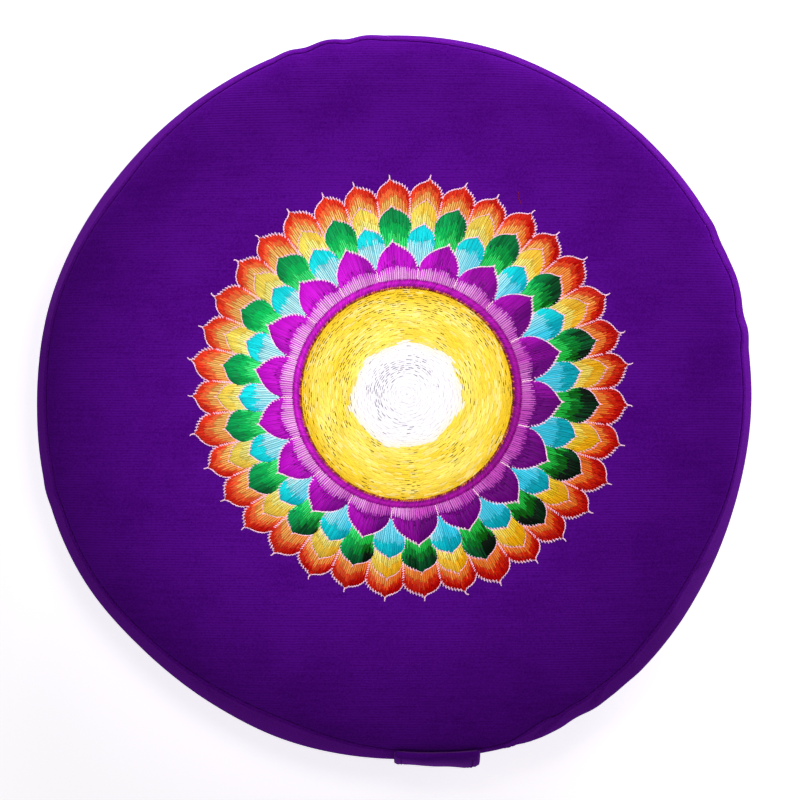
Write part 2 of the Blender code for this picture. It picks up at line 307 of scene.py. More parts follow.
def past(fraction, start):
    """How far a share of the radius is past a start: 0 up to it, and 1 at the seam."""
    return np.clip((fraction - start) / (1 - start), 0, None)


def crown(fraction, bearing, seam_z):
    """Height of the top at a share of the radius, before its small unevenness."""
    z = HEIGHT - (HEIGHT - seam_z) * fraction**CROWN_POWER
    return z - EDGE_ROLL * past(fraction, EDGE_ROLL_FROM) ** 2 - droop(bearing) * past(fraction, DROOP_FROM) ** 2


def panel_height(x, y):
    """The top panel's upper face."""
    bearing = np.degrees(np.arctan2(y, x)) % 360.0
    radius, seam_z, pucker = (np.interp(bearing, FINE_BEARINGS, values, period=360.0) for values in FINE_RIM)
    reach = np.hypot(x, y)
    inside = np.maximum(radius - reach, 0.0)
    z = crown(reach / radius, bearing, seam_z) - SEAM_DITCH * ditch(inside)
    z += pucker * np.exp(-inside / PUCKER_REACH) * rising(inside, 0.004)
    return z + UNDULATION * sum_of(SLOW_WAVES, x, y) / 3.0 * rising(inside, 0.03)


def above_panel(lift):
    return lambda x, y: panel_height(x, y) + lift


# ------------ meshes
def around(radius, bearing, z):
    """Points at radii, bearings and heights round the cushion's axis (n, 3)."""
    angle = np.radians(bearing)
    return np.stack(np.broadcast_arrays(radius * np.cos(angle), radius * np.sin(angle), z), -1)


def tube_faces(count, rows, first=0):
    """Quads between rows of so many points that each go round."""
    near = np.arange(count)
    far = (near + 1) % count
    low = first + count * np.arange(rows - 1)[:, None]
    return np.stack([low + near, low + far, low + count + far, low + count + near], -1).reshape(-1, 4)


def repeated(faces, count, points):
    """The faces of one stitch, for a number of stitches of so many points each."""
    return (faces + points * np.arange(count)[:, None, None]).reshape(-1, faces.shape[-1])


def walk(line):
    """The length of a path of points, and a function for the points at lengths along it."""
    length = np.concatenate([[0], np.cumsum(np.linalg.norm(np.diff(line, axis=0), axis=1))])
    return length[-1], lambda at: np.stack([np.interp(at, length, axis) for axis in line.T], 1)


def mesh_of(name, points, faces):
    """A smooth mesh from points (n, 3) and lists of faces, each an array (m, corners)."""
    mesh = bpy.data.meshes.new(name)
    mesh.vertices.add(len(points))
    mesh.vertices.foreach_set("co", np.asarray(points, np.float32).ravel())
    corners = np.concatenate([f.ravel() for f in faces]).astype(np.int32)
    sizes = np.concatenate([np.full(len(f), f.shape[1]) for f in faces])
    mesh.loops.add(len(corners))
    mesh.loops.foreach_set("vertex_index", corners)
    mesh.polygons.add(len(sizes))
    mesh.polygons.foreach_set("loop_start", np.concatenate([[0], np.cumsum(sizes)[:-1]]).astype(np.int32))
    mesh.update(calc_edges=True)
    mesh.validate()
    mesh.shade_smooth()
    return mesh


def rings_mesh(name, rings, bottom, top):
    """Rings of points (rows, columns, 3) closed with one point below and one above."""
    rows, columns = rings.shape[:2]
    points = np.concatenate([[bottom], rings.reshape(-1, 3), [top]])
    near = np.arange(columns)
    far = (near + 1) % columns
    last = 1 + (rows - 1) * columns
    return mesh_of(name, points, [
        np.stack([np.zeros_like(near), 1 + far, 1 + near], 1),
        np.stack([np.full_like(near, len(points) - 1), last + near, last + far], 1),
        tube_faces(columns, rows, 1)])


def paint(mesh, colours):
    """A colour for each point."""
    layer = mesh.color_attributes.new("floss", "FLOAT_COLOR", "POINT")
    rgba = np.ones((len(mesh.vertices), 4), np.float32)
    rgba[:, :3] = colours
    layer.data.foreach_set("color", rgba.ravel())


def piece(name, mesh, material):
    made = bpy.data.objects.new(name, mesh)
    bpy.context.scene.collection.objects.link(made)
    mesh.materials.append(material)
    return made


def sewn(name, mesh, material):
    """A piece that rides on the cushion's one body."""
    made = piece(name, mesh, material)
    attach(made, "root")
    return made


def closed_cloth(name, rings, bottom, top, material):
    return sewn(name, rings_mesh(name, np.array(rings), (0, 0, bottom), (0, 0, top)), material)


# ------------ materials
def start_material(name, **values):
    """A material and its shader with the values given. An underscore in a name stands for a space."""
    material = bpy.data.materials.new(name)
    material.use_nodes = True
    shader = material.node_tree.nodes["Principled BSDF"]
    for socket, value in values.items():
        shader.inputs[socket.replace("_", " ")].default_value = value
    return material, shader


RIB_PITCH = 0.00125
RIB_RATE = math.pi / 10.0   # a wave texture of this scale repeats once a metre


def cotton(name, colour, rib_axis, sheen, grain, coordinate="Object"):
    """Plain dyed cotton with fine ribs across one axis, slubs along them, fuzz, and a few specks of lint."""
    material, shader = start_material(
        name, Roughness=0.9, Specular_IOR_Level=0.0, Sheen_Weight=sheen, Sheen_Roughness=0.45,
        Sheen_Tint=(*linear(190, 102, 220), 1.0))
    nodes, links = material.node_tree.nodes, material.node_tree.links

    def connect(socket, value):
        if isinstance(value, bpy.types.NodeSocket):
            links.new(value, socket)
        else:
            socket.default_value = value

    def node(kind, **values):
        """A node with its inputs linked or set."""
        made = nodes.new("ShaderNode" + kind)
        for socket, value in values.items():
            connect(made.inputs[socket.replace("_", " ")], value)
        return made

    def combine(operation, *values):
        made = nodes.new("ShaderNodeMath")
        made.operation = operation
        for socket, value in zip(made.inputs, values):
            connect(socket, value)
        return made.outputs[0]

    def noise(x, y, z, detail=2.0):
        scaled = node("Mapping", Vector=place, Scale=(x, y, z)).outputs["Vector"]
        return node("TexNoise", Vector=scaled, Scale=1.0, Detail=detail).outputs["Fac"]

    def total(*parts):
        """The sum of patterns, each with its share."""
        result = combine("MULTIPLY", *parts[0])
        for part in parts[1:]:
            result = combine("ADD", result, combine("MULTIPLY", *part))
        return result

    place = node("TexCoord").outputs[coordinate]
    wave = node("TexWave", Vector=place, Scale=RIB_RATE / RIB_PITCH, Distortion=0.6, Detail=1.0, Detail_Scale=0.35)
    wave.bands_direction = rib_axis
    slubs = noise(48.0, 980.0, 48.0)
    threads = noise(1150.0, 1150.0, 1150.0)
    patches = noise(34.0, 34.0, 34.0, 3.0)
    fading = combine("MAXIMUM", combine("SUBTRACT", combine("MULTIPLY", patches, 3.0), 1.15), 0.0)
    ribs = combine("MULTIPLY", wave.outputs["Fac"], fading)
    height = total((ribs, 2.6), (slubs, 0.9), (threads, 0.3))
    connect(shader.inputs["Normal"], node("Bump", Strength=0.20, Distance=0.00022, Height=height).outputs["Normal"])

    tone = total((ribs, 0.35), (slubs, 0.38), (patches, 0.12), (threads, grain))
    ramp = node("ValToRGB", Fac=combine("ADD", tone, 0.5 * (0.44 - grain)))
    dark, light = ramp.color_ramp.elements
    dark.position, dark.color = 0.18, (*(colour * 0.72), 1.0)
    # The lighter tone is the cloth's own lighter slubs, with a little white added as painted sheen of the fibres.
    light.position, light.color = 0.68, (*(colour * 1.28 + 0.0030), 1.0)

    specks = node("TexVoronoi", Vector=place, Scale=120.0, Randomness=1.0).outputs["Distance"]
    lint = combine("MULTIPLY", combine("LESS_THAN", specks, 0.035), combine("GREATER_THAN", patches, 0.56))
    mix = nodes.new("ShaderNodeMix")
    mix.data_type = "RGBA"
    connect(mix.inputs["Factor"], combine("MULTIPLY", lint, 0.45))
    connect(mix.inputs["A"], ramp.outputs["Color"])
    connect(mix.inputs["B"], (*(colour * 2.4 + 0.02), 1.0))
    connect(shader.inputs["Base Color"], mix.outputs["Result"])
    return material


def thread_material(name, roughness, specular):
    """Thread that takes its colour from the points: glossy embroidery floss, or dull sewing thread."""
    material, shader = start_material(name, Roughness=roughness, Specular_IOR_Level=specular)
    tree = material.node_tree
    colour = tree.nodes.new("ShaderNodeVertexColor")
    colour.layer_name = "floss"
    tree.links.new(colour.outputs["Color"], shader.inputs["Base Color"])
    return material


# ------------ cloth pieces
def make_top_panel(material):
    seam_r, seam_z = top_seam(BEARINGS)
    rings = [around(seam_r * share, BEARINGS, crown(share, BEARINGS, seam_z) - CLOTH)
             for share in (0.4, 0.8, 0.95, 1.0)]
    upper = np.concatenate([
        np.linspace(0.03, 0.90, 34), np.linspace(0.91, 0.98, 12), (0.985, 0.989, 0.9925, 0.995, 0.9975, 1.0)])
    for share in upper[::-1]:
        ring = around(seam_r * share, BEARINGS, 0.0)
        ring[:, 2] = panel_height(ring[:, 0], ring[:, 1])
        rings.append(ring)
    top = float(panel_height(1e-9, 0.0))
    made = closed_cloth("top_cover", rings, HEIGHT - CLOTH, top, material)
    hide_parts("top_panel")
    return made


def band_profile(bearings, t):
    """Radius and height of the band round the cushion at t, from its bottom seam (0) to its top seam (1)."""
    low_r, low_z = bottom_seam(bearings)
    high_r, high_z = drooped_seam(bearings)
    low_r, high_r = low_r + GAP, high_r + GAP
    low_z, high_z = low_z + BAND_INSET, high_z - EDGE_ROLL - BAND_INSET
    belly = smooth_round(bearings, "belly") + 0.6 * bumps(bearings, GATHERS) + bumps(bearings, BELLY_MORE)
    bulge = (4 * t * (1 - t)) ** BAND_POWER
    radius = low_r + (high_r - low_r) * t + (belly - 0.5 * (low_r + high_r)) * bulge
    below = (1 - t) * (high_z - low_z)
    for fold in FOLDS:
        off = turned_from(fold.bearing + fold.lean * below / 0.02, bearings)
        depth = hill(below / MM / fold.reach, 0.4, 0.5) * fold.out * MM * rising(below, 0.004)
        # The hollow beside a fold is as wide as the fold, and most of its depth.
        radius = radius + depth * (hill(off, 0, fold.half_width)
                                   - 0.7 * hill(off, -2.0 * fold.half_width, fold.half_width))
    pucker = bumps(bearings, PUCKER_TABLE) * np.exp(-below / 0.02) * (1 - ditch(below))
    radius = radius + LIP[0] * hill(below, *LIP[1:]) + pucker
    return radius, low_z + (high_z - low_z) * t - 0.6 * SEAM_DITCH * ditch(below)


STRIP_WIDTH = (TOP_SEAM_Z - BOTTOM_SEAM_Z) * 1.07      # of the flat strip that the band is cut from
STRIP_RADIUS = 0.172                                   # of the round that the strip makes


def make_band(material):
    """The band, and the filling under both panels that it is one solid with."""
    steps = np.concatenate([
        (0.0, 0.006, 0.014, 0.026, 0.045, 0.07, 0.10, 0.14), np.linspace(0.19, 0.81, 22),
        (0.85, 0.885, 0.915, 0.94, 0.957, 0.97, 0.98, 0.986, 0.990, 0.9935, 0.9965, 1.0)])
    under = CLOTH + GAP
    low_r, low_z = bottom_seam(BEARINGS)
    high_r, high_z = top_seam(BEARINGS)
    below = [around(low_r * share, BEARINGS, low_z * past(share, FLAT_FRACTION) ** BOTTOM_POWER + under)
             for share in (0.5, FLAT_FRACTION, 0.91, 0.96)]
    below.append(around(low_r + GAP, BEARINGS, low_z + under))
    side = [around(radius, BEARINGS, z) for radius, z in (band_profile(BEARINGS, t) for t in steps)]
    above = [around(high_r * share + (GAP if share == 1.0 else 0.0), BEARINGS,
                    crown(share, BEARINGS, high_z) - under) for share in (1.0, 0.96, 0.86, 0.5)]
    made = closed_cloth("band_cover", below + side + above, under, HEIGHT - under, material)
    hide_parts("filled_body")

    # Where each point lies on that strip, for its ribs.
    rise = steps * STRIP_WIDTH
    heights = np.concatenate([np.zeros(len(below)), rise, np.full(len(above), rise[-1])])
    strip = np.zeros((len(heights) * COLUMNS + 2, 2))
    strip[1:-1, 0] = np.tile(np.radians(BEARINGS) * STRIP_RADIUS, len(heights))
    strip[1:-1, 1] = np.repeat(heights, COLUMNS)
    corner = np.zeros(len(made.data.loops), np.int32)
    made.data.loops.foreach_get("vertex_index", corner)
    made.data.uv_layers.new(name="strip").data.foreach_set("uv", strip[corner].astype(np.float32).ravel())
    return made


def make_bottom_panel(material):
    bearings = BEARINGS[::2]
    seam_r, seam_z = bottom_seam(bearings)
    shares = np.concatenate([np.linspace(0.1, 0.8, 8), np.linspace(FLAT_FRACTION, 1.0, 14)])
    rings = []
    for inner, order in ((0, shares), (1, shares[::-1])):
        for share in order:
            curl = past(share, FLAT_FRACTION) ** BOTTOM_POWER
            pucker = bumps(bearings, PUCKER_TABLE) * max(0.0, share - 0.93) / 0.07 * (1 - inner)
            rings.append(around(seam_r * share, bearings, seam_z * curl + CLOTH * inner + pucker * curl))
    made = closed_cloth("bottom_cover", rings, 0, CLOTH, material)
    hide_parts("bottom_panel")
    return made


# ------------ strap
STRAP_ROWS, STRAP_ACROSS = 140, 25
STITCH_PITCH = 0.0031


def strap_row(share):
    """Rise, distance out and flatness at a share of the way up the strap."""
    place = (len(STRAP) - 1) * share
    last = min(int(place), len(STRAP) - 2)
    near = [(last + k, STRAP[min(max(last + k, 0), len(STRAP) - 1)]) for k in (-1, 0, 1, 2)]
    rise, out, flat = (through([(k, getattr(row, column)) for k, row in near], place) for column in StrapRow._fields)
    return rise, out * MM, min(max(flat, 0.0), 1.0)


def seam_at(x, seam):
    """Distance in front of the axis and height of a seam at a place across the strap."""
    bearing = 270.0
    for _ in range(4):
        radius, z = seam(np.array(bearing))
        bearing = 270.0 + math.degrees(math.asin(x / float(radius)))
    return float(radius) * math.cos(math.radians(bearing - 270.0)), float(z)


def strap_grid():
    """Points of the strap's inner face, and its outward direction at each."""
    across = np.linspace(0, 1, STRAP_ACROSS)
    x = STRAP_LEFT_X + STRAP_WIDTH * across
    low_y, low_z = np.array([seam_at(at, bottom_seam) for at in x]).T
    high_y, high_z = np.array([seam_at(at, drooped_seam) for at in x]).T
    edge_low, edge_high = BAND_INSET - GAP, GAP - EDGE_ROLL - BAND_INSET
    rows = []
    for row in range(STRAP_ROWS + 1):
        rise, out, flat = strap_row(row / STRAP_ROWS)
        here, z = low_y + (high_y - low_y) * rise, low_z + (high_z - low_z) * rise
        base = here + (here[0] + STRAP_SKEW * across - here) * flat
        rows.append(np.stack([x, -base - out, z + edge_low + (edge_high - edge_low) * rise], 1))
    grid = np.array(rows)
    normal = np.cross(np.gradient(grid, axis=1), np.gradient(grid, axis=0))
    return grid, normal / np.linalg.norm(normal, axis=2, keepdims=True)


def make_strap(material, thread):
    """A folded strap with rolled edges and a row of stitches along each."""
    grid, normal = strap_grid()
    shares = np.linspace(0, 1, STRAP_ACROSS)
    rounding = np.sqrt(np.clip(1 - (np.abs(2 * shares - 1) ** 14), 0, 1))
    rows = np.linspace(0, 1, STRAP_ROWS + 1)[:, None]
    fade = rising(np.minimum(rows, 1 - rows), 0.12)
    swell = 0.00025 * np.sin(rows * 21 + shares * 5) + 0.0002 * np.sin(shares * 13 + rows * 4)
    sewn_at = (0.085, 0.915)
    groove = 0.00030 * sum(hill(shares, share, 0.018) for share in sewn_at)
    half = 0.5 * STRAP_THICKNESS
    middle = grid + normal * half
    outer = middle + normal * (half * rounding[None, :, None] + ((swell - groove) * fade * rounding)[..., None])
    inner = middle - normal * (half * rounding[None, :, None])
    loop = np.concatenate([outer, inner[:, -2:0:-1]], axis=1)
    count = loop.shape[1]
    faces = [tube_faces(count, STRAP_ROWS + 1)]
    left, last = np.arange(1, STRAP_ACROSS - 2), STRAP_ACROSS - 1
    quads = np.stack([left, left + 1, count - left - 1, count - left], 1)
    ends = np.array([[0, 1, count - 1], [last - 1, last, last + 1]])
    faces += [quads[:, ::-1], ends[:, ::-1], quads + STRAP_ROWS * count, ends + STRAP_ROWS * count]
    made = sewn("handle_loop", mesh_of("handle_loop", loop.reshape(-1, 3), faces), material)
    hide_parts("handle_strap")

    starts, stops = [], []
    for share in sewn_at:
        column = share * last
        index, part = int(column), column - int(column)
        line = outer[:, index] * (1 - part) + outer[:, index + 1] * part
        length, along = walk(line + normal[:, index] * 0.00012)
        at = np.arange(0.005, length - 0.006, STITCH_PITCH)
        starts.append(along(at))
        stops.append(along(at + STITCH_PITCH * 0.72))
    return made, tubes("handle_stitches", np.concatenate(starts), np.concatenate(stops), 0.00024, thread)


def tubes(name, starts, stops, radius, material):
    """Straight stitches of sewing thread in space, each a six-sided capsule from start to stop."""
    sides, stations = 6, ((-0.04, 0.35), (0.08, 0.9), (0.5, 1.0), (0.92, 0.9), (1.04, 0.35))
    along = stops - starts
    length = np.linalg.norm(along, axis=1, keepdims=True)
    along = along / length
    helper = np.where(np.abs(along[:, 2:3]) > 0.8, [[1.0, 0.0, 0.0]], [[0.0, 0.0, 1.0]])
    across = np.cross(along, helper)
    across /= np.linalg.norm(across, axis=1, keepdims=True)
    upward = np.cross(across, along)
    points = []
    for share, size in stations:
        centre = starts + along * length * share
        for turn in math.tau * np.arange(sides) / sides:
            points.append(centre + radius * size * (across * math.cos(turn) + upward * math.sin(turn)))
    near, each = np.arange(sides), len(points)
    mesh = mesh_of(name, np.stack(points, 1).reshape(-1, 3), [
        repeated(tube_faces(sides, len(stations)), len(starts), each),
        repeated(np.array([near[::-1], each - sides + near]), len(starts), each)])
    paint(mesh, SEAM_THREAD)
    return sewn(name, mesh, material)


# ------------ thread laid on the panel
SECTION = ((-1.0, 0.0), (-0.45, 0.86), (0.45, 0.86), (1.0, 0.0))
BASE_SINK = 0.00012


class Stitches:
    """Stitches of one piece, collected and then made into one mesh."""

    def __init__(self):
        self.parts = []

    def add(self, a, b, width, height, lift, colour, bend=0.0, low_shade=1.0, ends=0.55, taper=0.13,
            end_height=0.1):
        """Stitches from points a to points b (n, 2). lift(x, y) gives the height that they are sewn on.

        Their ends are narrower by the share `ends`, over the share `taper` of their length."""
        a, b = np.atleast_2d(a), np.atleast_2d(b)
        count = len(a)
        along = b - a
        length = np.linalg.norm(along, axis=1, keepdims=True)
        across = np.stack([-along[:, 1], along[:, 0]], 1) / np.maximum(length, 1e-9)
        width, height, bend, ends = (np.broadcast_to(np.asarray(value, float), (count,))[:, None]
                                     for value in (width, height, bend, ends))
        colour = np.broadcast_to(colour, (count, 3))
        points, shades = [], []
        for share, wide, high in (
                (0.0, ends, end_height), (taper, 0.95, 0.75), (0.5, 1.0, 1.0), (1 - taper, 0.95, 0.75),
                (1.0, ends, end_height)):
            centre = a + along * share + across * bend * 4 * share * (1 - share)
            ground = lift(centre[:, 0], centre[:, 1])[:, None]
            for side, up in SECTION:
                z = ground - BASE_SINK + (BASE_SINK + height * high) * up
                points.append(np.concatenate([centre + across * width * 0.5 * wide * side, z], 1))
                # A stitch's lower edges are darker by low_shade and its ends a little darker: painted shade between
                # the threads and at their ends.
                shades.append(colour * (1.0 if up else low_shade) * (1.0 if 0 < share < 1 else 0.93))
        self.parts.append((np.stack(points, 1), np.stack(shades, 1)))

    def make(self, name, material):
        points, shades = (np.concatenate(arrays) for arrays in zip(*self.parts))
        count, each = points.shape[:2]
        sides = len(SECTION)
        near = np.arange(sides)
        quads = tube_faces(sides, each // sides)[:, [0, 3, 2, 1]]
        caps = np.array([near, (each - sides + near)[::-1]])
        mesh = mesh_of(name, points.reshape(-1, 3), [repeated(np.concatenate([quads, caps]), count, each)])
        paint(mesh, shades.reshape(-1, 3))
        return sewn(name, mesh, material)


# ------------ the lotus in its own round coordinates
def shifted_centre(share):
    """The middle of the lotus at a share of the way from its disc to its rim."""
    return [disc + (rim - disc) * share for disc, rim in zip(DISC_CENTRE, RIM_CENTRE)]


def spot(radius, bearing):
    """The place of a radius and bearing of the lotus, as x and y (n, 2)."""
    share = np.clip((radius - SHIFT_FROM) / SHIFT_OVER, -0.1, 1.2)
    x, y = shifted_centre(share)
    angle = np.radians(bearing)
    return np.stack([x + radius * (1 + RIM_STRETCH * share) * np.cos(angle),
                     y + radius * (1 - RIM_STRETCH * share) * np.sin(angle)], -1)


def petal_bearings():
    base = FIRST_BEARING + np.arange(PETALS) * 360.0 / PETALS
    shift = sum(size * np.cos(np.radians(times * base - most)) for size, most, times in SPREAD)
    return base + shift + rng.uniform(-0.55, 0.55, PETALS)


# The petals' axes and the sides between them. Each goes on past the full turn: a petal lies between the sides
# of its own number and the next, and its neighbours have the axes of its own number and the one after the next.
AXES = petal_bearings()
AXES_ROUND = np.concatenate([AXES[-1:] - 360.0, AXES, AXES[:1] + 360.0])
SIDES_ROUND = 0.5 * (AXES + np.roll(AXES, -1))
SIDES_ROUND[-1] += 180.0
SIDES_ROUND = np.concatenate([SIDES_ROUND[-1:] - 360.0, SIDES_ROUND])
TIPS = {name: rng.uniform(-0.9, 0.9, PETALS) for name in ("outer", "second", "cyan", "magenta")}
TIPS["second"] += 1.1 * np.cos(np.radians(AXES - 15.0))     # the second ring is sewn a little to the right
LEAN = rng.uniform(-0.16, 0.16, PETALS)


def slot(bearing):
    """Which petal a bearing lies in, and where across it from -1 to 1."""
    last = SIDES_ROUND[-1]
    at = (np.asarray(bearing, float) - last + 360.0) % 360.0 + last - 360.0
    index = np.searchsorted(SIDES_ROUND[1:], at, side="right") % PETALS
    axis = AXES[index]
    half = np.where(at < axis, axis - SIDES_ROUND[index], SIDES_ROUND[index + 1] - axis)
    return index, np.clip((at - axis) / half, -1, 1)


def shared_slot(odd, reach):
    """The same for petals on the odd or even axes alone, which reach over their neighbours' slots."""
    def place(bearing):
        index, t = slot(bearing)
        own = index % 2 == odd
        toward = np.where(t < 0, -1, 1)
        return np.where(own, index, (index + toward) % PETALS), np.where(own, t, t - 2 * toward) / reach
    return place


green_slot, cyan_slot, wide_slot = shared_slot(1, GREEN_REACH), shared_slot(0, CYAN_REACH), shared_slot(1, 2.0)


def narrow_span(petal):
    return SIDES_ROUND[petal], SIDES_ROUND[petal + 1]


def wide_span(petal):
    return AXES_ROUND[petal] + 0.4, AXES_ROUND[petal + 2] - 0.4


def reaching_span(reach):
    """Where a petal begins and ends that reaches over its neighbours' slots."""
    def span(petal):
        (low, high), before, after = narrow_span(petal), AXES_ROUND[petal], AXES_ROUND[petal + 2]
        return before + (2 - reach) * (low - before), after - (2 - reach) * (after - high)
    return span


def peak_bearing(petal, reach):
    """The bearing of a petal's tip, which leans away from its axis."""
    side = narrow_span(petal)[1 if LEAN[petal] > 0 else 0]
    return AXES[petal] + LEAN[petal] * abs(side - AXES[petal]) * reach


# ------------ edges of the petals
def edge_of(ring, index, t, tips):
    """The radius of a ring's edge. Its tips lean a little to one side, as hand-guided petals do."""
    peak, tip = LEAN[index], ring.tip + TIPS[tips][index]
    t = np.where(t < peak, (t - peak) / (1 + peak), (t - peak) / (1 - peak))
    dome = ring.pointed * (1 - np.abs(t)) + (1 - ring.pointed) * np.sqrt(np.clip(1 - t**2, 0, 1))
    drawn = ring.drawn * np.exp(-np.abs(t) / DRAWN_REACH) * (1 - np.abs(t))
    return (ring.valley + (tip - ring.valley) * dome + drawn) * MM


def outer_edge(bearing):
    return edge_of(OUTER, *slot(bearing), "outer")


def yellow_edge(bearing):
    index, t = slot(bearing)
    return np.where(index % 2 == 0, edge_of(YELLOW, index, t, "second"), 0.0)


def reaching_edge(ring, place, tips):
    def edge(bearing):
        index, t = place(bearing)
        return np.where(np.abs(t) <= 1, edge_of(ring, index, np.clip(t, -1, 1), tips), 0.0)
    return edge


green_edge, cyan_edge = reaching_edge(GREEN, green_slot, "second"), reaching_edge(CYAN, cyan_slot, "cyan")


def magenta_edge(bearing):
    index, t = wide_slot(bearing)
    return edge_of(MAGENTA, index, np.clip(t / MAGENTA_SHARE, -1, 1), "magenta")


def pink_edge(bearing):
    return (PINK.valley + (PINK.tip - PINK.valley) * (1 - wide_slot(bearing)[1] ** 2)) * MM


def ring_edge(bearing):
    return np.full_like(np.asarray(bearing, float), RING_OUT)


def outermost(*edges):
    return lambda bearing: np.maximum.reduce([edge(bearing) for edge in edges])


# How a layer of petals is sewn: its ring, its own edge and that of what lies above it, its petals, where a bearing
# falls in them, where one begins and ends, and how far it reaches. Then for its outline the millimetres that its
# thread ends past the tip, whether it runs down between two petals on each side, and its thickness.
Layer = namedtuple("Layer", "ring edge inner petals place span reach spike sides thick")
EVERY, EVEN, ODD = range(PETALS), range(0, PETALS, 2), range(1, PETALS, 2)
OUTER_LAYER = Layer(OUTER, outer_edge, outermost(yellow_edge, green_edge, cyan_edge, magenta_edge), EVERY, slot,
                    narrow_span, 1.0, 1.5, (True, False), 0.98)
YELLOW_LAYER = Layer(YELLOW, yellow_edge, outermost(green_edge, cyan_edge, magenta_edge), EVEN, slot,
                     narrow_span, 1.0, 0.8, (False, False), 0.74)
GREEN_LAYER = Layer(GREEN, green_edge, outermost(cyan_edge, magenta_edge), ODD, green_slot,
                    reaching_span(GREEN_REACH), GREEN_REACH, 0.8, (True, True), 0.8)
CYAN_LAYER = Layer(CYAN, cyan_edge, magenta_edge, EVEN, cyan_slot,
                   reaching_span(CYAN_REACH), CYAN_REACH, 0.5, (True, True), 0.95)
MAGENTA_LAYER = Layer(MAGENTA, magenta_edge, ring_edge, ODD, wide_slot,
                      wide_span, 2 * MAGENTA_SHARE, 0.8, (False, False), 1.15)
PINK_LAYER = MAGENTA_LAYER._replace(ring=PINK, edge=pink_edge)      # has no outline


def swelling(layer):
    """A lift function for one layer: it swells between its own edge and that of what lies above it."""
    def lift(x, y):
        share = np.clip((np.hypot(x - RIM_CENTRE[0], y - RIM_CENTRE[1]) - SHIFT_FROM) / SHIFT_OVER, 0, 1)
        cx, cy = shifted_centre(share)
        px, py = (x - cx) / (1 + RIM_STRETCH * share), (y - cy) / (1 - RIM_STRETCH * share)
        radius, bearing = np.hypot(px, py), np.degrees(np.arctan2(py, px))
        inside = np.maximum(layer.edge(bearing) - radius, 0)
        above = np.maximum(radius - layer.inner(bearing), 0)
        swell = (1 - np.exp(-inside / 0.0016)) * (1 - 0.65 * np.exp(-above / 0.0012))
        return panel_height(x, y) + layer.ring.lift * MM + PUFF * swell
    return lift


def raised(lift, more):
    return lambda x, y: lift(x, y) + more


def varied(colour, count, spread):
    """A thread colour for each stitch, a little lighter or darker."""
    return colour * (1 + rng.normal(0, spread, (count, 1))).clip(0.6, 1.5)


def painted_light_colour(thread, bearing, more=0.0):
    """A thread's colour for the bearing that it is sewn at, painted lit or shaded by that bearing, with a little of
    its neighbours' chance.
    """
    bright, deep = FLOSS_LIT_AND_SHADED[thread]
    share = facing(bearing, PAINTED_LIGHT_BEARING) ** PAINTED_LIGHT_POWER.get(thread, PLAIN_POWER)
    share = (share + more + rng.normal(0, 0.06, len(bearing))).clip(0, 1)[:, None]
    return bright * share + deep * (1 - share)


def fill_petals(stitches, layer):
    """Long and short satin rows that run inward from a ring's edge, over a ground of darker stitches that is painted
    shade between the threads.
    """
    ring, edge, base = layer.ring, layer.edge, swelling(layer)
    middle = 0.5 * (ring.tip + ring.valley)
    for petal in layer.petals:
        low, high = layer.span(petal)
        petal_tone = 1 + rng.normal(0, 0.05)
        turned, shaded = rng.normal(0, 0.16), rng.uniform(-0.9, 0.9)
        for number, row in enumerate(ring.rows):
            last = number == len(ring.rows) - 1
            for ground in (True, False):
                count = max(3, round(math.radians(high - low) * middle / (GROUND_PITCH if ground else row.pitch)))
                bearing = low + (high - low) * (np.arange(count) + 0.5) / count
                bearing = bearing + rng.normal(0, 0.03 if ground else 0.05, count)
                t = layer.place(bearing)[1]
                ragged = 0.0 if ground else RAGGED
                # Painted light and shade across each petal: a random slope from side to side, the side toward the
                # light painted lighter, and a painted shade somewhere across it.
                shade = PETAL_PAINTED_SHADE[1 if number else 0] * hill(t, shaded, 0.3)
                more = (turned + SIDE_PAINTED_LIGHT * np.cos(np.radians(bearing - PAINTED_LIGHT_BEARING + 90.0))) * t - shade
                outer, reach = edge(bearing) - TUCK, edge(bearing) - layer.inner(bearing) + TUCK
                start = row.start + row.side * np.abs(t) ** 3 + (rng.normal(0, ragged, count) if number else 0)
                stop = np.ones(count)
                if not last:
                    following = ring.rows[number + 1]
                    stop = following.start + following.side * np.abs(t) ** 3 + UNDER_NEXT
                    stop = np.minimum(stop + rng.normal(0, ragged, count), 1)
                begin, end = outer - reach * start, outer - reach * stop
                keep = begin - end > SHORTEST
                drift = rng.normal(0, 0.10, count)
                first, second = spot(begin, bearing)[keep], spot(end, bearing + drift)[keep]
                kept = int(keep.sum())
                colour = painted_light_colour(row.thread, bearing[keep], more[keep])
                # The ground is painted shade: darker than its threads, and nearer the shaded colour in the last row.
                if ground:
                    if last:
                        colour = (1 - GROUND_DEEP) * colour + GROUND_DEEP * FLOSS_LIT_AND_SHADED[row.thread][1]
                    colour = GROUND_PAINTED_SHADE[1 if last else 0] * colour
                    stitches.add(first, second, GROUND_WIDTH * MM, GROUND_HEIGHT, base, colour)
                    continue
                colour = varied(colour * petal_tone, kept, 0.08 if last else 0.07)
                stitches.add(first, second, row.width * MM * rng.uniform(0.88, 1.12, kept),
                             THREAD_HEIGHT * rng.uniform(0.75, 1.2, kept), raised(base, 0.00008), colour,
                             low_shade=0.62)


# Edge stitches: a thin line of short stitches, and on one side of each petal slanted ones across it, so that
# it looks toothed. Pitch, length, width and height in millimetres.
LINE = (1.30, 1.70, 0.54, 0.12)
UNDER_TEETH = (1.15, 1.75, 0.20, 0.10)
TEETH = (1.50, 1.85, 0.56, 0.20)
LINE_SLANT, TEETH_SLANT = 15.0, -56.0
SMALL_TEETH = 0.72          # between two petals
EDGE_LIFT = 0.00030


